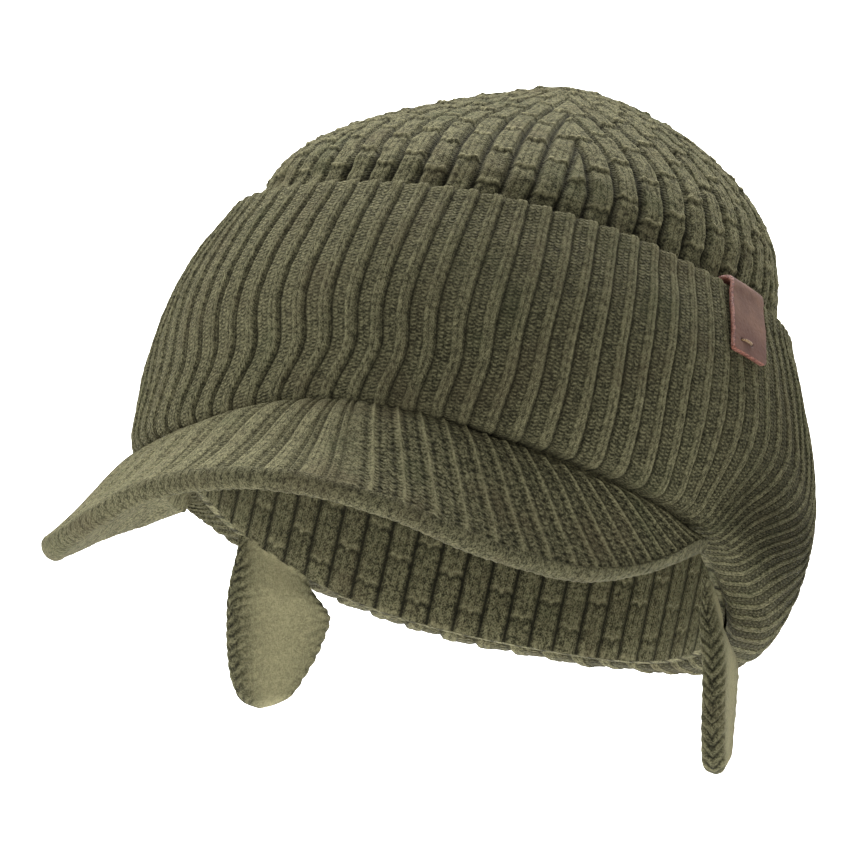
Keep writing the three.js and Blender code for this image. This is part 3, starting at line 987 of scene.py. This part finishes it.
def crown_stitch(look, rib, course):
    """Wales with beads on the lip of each ledge; painted highlight on the lip, painted shadow just below it,
    painted shade between ribs and further down from the top.
    """
    share = rib.share()
    odd = (rib.whole() / 2).share()
    shift = (rib.whole() * 2.4).math("SINE") * LEDGE_SHIFT
    arcs = (share * TURN).math("SINE").abs() * LEDGE_ARC
    block = ((course + arcs) / LEDGE + odd + shift).share()
    lip = (block - 0.055).abs().hump(0.04)
    # Painted shadow just below each lip
    below = (block - 0.14).abs().hump(0.04)
    height = wales(share * 4 - 0.5, course) + lip * beads(share * 4 - 0.5, course) * 0.4
    # Painted shade between the ribs, below each lip, and more further down the crown from its top
    dark = rib.to_whole().hump(0.1) * 0.9 + below * 0.3 + course.ramp(12, 40) * 0.1
    # Painted highlight on the lip; the height lowered below it adds to the painted shadow there
    return height - below * 0.25, dark.math("MINIMUM", 0.95), lip * 0.4


def flap_stitch(look, turn, chevron):
    """Felted, paler faces, and downward Vs along the edges, which lie at whole turns; painted shade darkens
    the edges and the grooves of the Vs.
    """
    edge = turn.to_whole().hump(0.24)
    groove = (chevron.share() - 0.5).abs().hump(0.2)
    felt = look.noise(0.0012, detail=3, seed=21.0) * 0.5 + 0.6
    # Painted shade on the edges and in the grooves of the Vs; the faces paler
    return felt - groove * edge * 0.6, (groove * 0.3 + 0.4) * edge, edge.rest() * 0.55


def peak_stitch(look, rib, course):
    """Cords and panels on the right wing, lines over purl elsewhere, plain on the rim and the underside;
    painted shade in the grooves, the holes and on the rim, painted highlight on the lines and the panels.
    """
    away = rib.to_whole()
    cords = (rib * -1).ramp(-16.4, -14.6)
    under = rib.ramp(UNDERSIDE - 20, UNDERSIDE - 19)
    line = away.hump(0.06)
    holes = (course * (COURSE / 2.4)).wave().ramp(0.1, 0.9) * (away - 0.27).abs().hump(0.09)
    lines = line * 0.9 + (beads(rib * 4, course) * 0.6 + 0.3 - holes * 0.5) * line.rest()
    panels = wales(rib * 5, course)
    rim = course.ramp(RIM / 2, RIM / 2 + 1)
    smooth = (cords + under + rim).math("MINIMUM", 1.0)
    height = lines * smooth.rest() + panels * smooth
    # Painted shade between the lines and in the holes of the purl
    dark = ((away - 0.25).abs().hump(0.07) + holes) * smooth.rest() * 0.35
    # Painted shade in the grooves beside the cords, and over the rim
    dark = dark + (away - 0.13).abs().hump(0.05) * cords * rim.rest() * 0.6 + rim * 0.3
    # Painted highlight on the raised lines and on the panels of the right wing
    return height, dark, line * smooth.rest() * 0.24 + panels * cords * 0.1


def leather_look():
    look = Look("tab_leather_brown", 0.55, specular=0.35)
    strip, length = look.stitches()
    grain = look.noise(0.0012, detail=4, roughness=0.6)
    cloud = look.noise(0.009, detail=3, seed=2.0)
    face = look.mix(tone("#563c31"), tone("#836351"), (grain * 0.4 + cloud * 0.7).ramp(0.3, 0.85))
    face = look.mix(face, tone("#5e3b33"), (length * -1).ramp(-16, -2) * 0.5)
    fibres = look.noise(0.0006, detail=2, seed=5.0)
    raw = look.mix(tone("#5e352b"), tone("#a06a58"), fibres.ramp(0.3, 0.7))
    edge = strip.ramp(0.985, 1.04)
    colour = look.mix(face, raw, edge)
    # Painted shade in the two stitch holes
    for side in (TAB_STITCH["left"], TAB_STITCH["right"]):
        beside = (strip - side) * (TAB["width"] / 2)
        far = (beside * beside + (length - TAB_STITCH["above_end"]).math("POWER", 2)).math("SQRT")
        colour = look.mix(colour, tone("#120c0a"), far.hump(0.6))
    look.colour(colour)
    look.bump(grain * 0.6 + edge * look.noise(0.0005, seed=9.0) * 2, 0.0003)
    return look.material


def thread_look():
    look = Look("tab_thread", 0.8, sheen=0.2, specular=0.2)
    turn, length = look.stitches()
    twist = (length * 2 + turn / TURN).wave() * 0.5 + 0.5
    look.colour(look.mix(tone("#6b5238"), tone("#a88c68"), twist))
    look.bump(twist, 0.0001)
    return look.material


# Camera and light

VIEW = {"azimuth": 28, "elevation": 12, "distance": 1300, "focal_px": 4420, "frame_px": 860}
SENSOR_MM = 36
ORIGIN_PX = (470, 472)  # where the part's origin shows in the photograph's frame
# Softboxes round the object: azimuth, elevation and power in watts
SOFTBOXES = {
    "light_above": (-165, 51, 47),
    "light_right": (140, 30, 3),
    "light_left": (-75, 25, 21),
    "light_front": (20, 8, 10),
}
SOFTBOX_DISTANCE = 1.5
SOFTBOX_SIZE = 0.8
BACKDROP = {"place": (-1.5, 3, 1.6), "size": 3, "power": 160, "spread": math.radians(120)}
WORLD_LIGHT = 0.17
WHITE = (1, 1, 1, 1)
FLOOR = {"half": 8, "height": -0.35, "colour": (0.9, 0.9, 0.9, 1), "glow": 0.4}


def direction(azimuth, elevation):
    """Unit vector from the object to the side where an azimuth from the front and an elevation lie."""
    a, e = math.radians(azimuth), math.radians(elevation)
    return Vector((math.sin(a) * math.cos(e), -math.cos(a) * math.cos(e), math.sin(e)))


def make_camera():
    a = math.radians(VIEW["azimuth"])
    back = direction(VIEW["azimuth"], VIEW["elevation"])
    right = Vector((math.cos(a), math.sin(a), 0))
    up = back.cross(right)
    scale = VIEW["distance"] / VIEW["focal_px"]
    middle = VIEW["frame_px"] / 2
    aim = right * (middle - ORIGIN_PX[0]) * scale + up * (ORIGIN_PX[1] - middle) * scale
    place = back * VIEW["distance"]
    data = bpy.data.cameras.new("camera")
    data.sensor_width = SENSOR_MM
    data.lens = VIEW["focal_px"] / VIEW["frame_px"] * SENSOR_MM
    data.clip_start, data.clip_end = 0.05, 50
    camera = add_object("camera", data)
    camera.location = place * MM
    camera.rotation_euler = (aim - place).to_track_quat("-Z", "Y").to_euler()
    bpy.context.scene.camera = camera


def area_light(name, place, size, power):
    """A square light that faces down."""
    data = bpy.data.lights.new(name, "AREA")
    data.size, data.energy = size, power
    light = add_object(name, data)
    light.location = place
    return light


def make_studio():
    world = bpy.data.worlds.new("studio")
    world.use_nodes = True
    set_inputs(world.node_tree.nodes["Background"], {"Color": WHITE, "Strength": WORLD_LIGHT})
    bpy.context.scene.world = world
    bpy.context.scene.view_settings.view_transform = "Standard"
    mesh = bpy.data.meshes.new("floor")
    half, height = FLOOR["half"], FLOOR["height"]
    corners = [(-half, -half, height), (half, -half, height), (half, half, height), (-half, half, height)]
    mesh.from_pydata(corners, [], [(0, 1, 2, 3)])
    pale = Look("floor_pale", 0.9)
    tones = {"Base Color": FLOOR["colour"], "Emission Color": WHITE, "Emission Strength": FLOOR["glow"]}
    set_inputs(pale.surface, tones)
    mesh.materials.append(pale.material)
    add_object("floor", mesh)
    for name, (azimuth, elevation, power) in SOFTBOXES.items():
        back = direction(azimuth, elevation)
        light = area_light(name, back * SOFTBOX_DISTANCE, SOFTBOX_SIZE, power)
        light.rotation_euler = (-back).to_track_quat("-Z", "Y").to_euler()
    backdrop = area_light("light_backdrop", BACKDROP["place"], BACKDROP["size"], BACKDROP["power"])
    backdrop.data.spread = BACKDROP["spread"]


def make_cap():
    cuff_knit = knit_look("cuff_rib_knit", cuff_stitch, 0.001)
    crown_knit = knit_look("crown_broken_rib", crown_stitch, 0.0006)
    peak_knit = knit_look("peak_rib_knit", peak_stitch, 0.0006)
    flap_knit = knit_look("flap_knit", flap_stitch, 0.0005)
    leather = leather_look()
    pieces = (
        (make_crown(crown_knit), "crown", "knit"),
        (make_cuff(cuff_knit), "cuff", "knit"),
        (make_peak(peak_knit), "peak", "knit"),
        (make_flap("ear_flap_left_knit", 1, flap_knit), "ear_flap_left", "knit"),
        (make_flap("ear_flap_right_knit", -1, flap_knit), "ear_flap_right", "knit"),
        (make_tab(leather), "leather_tab", "leather"),
    )
    for piece, node, slot in pieces:
        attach(piece, "root")
        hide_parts(node)
    stitch = make_stitch(thread_look())
    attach(stitch, "root")


make_cap()
make_camera()
make_studio()
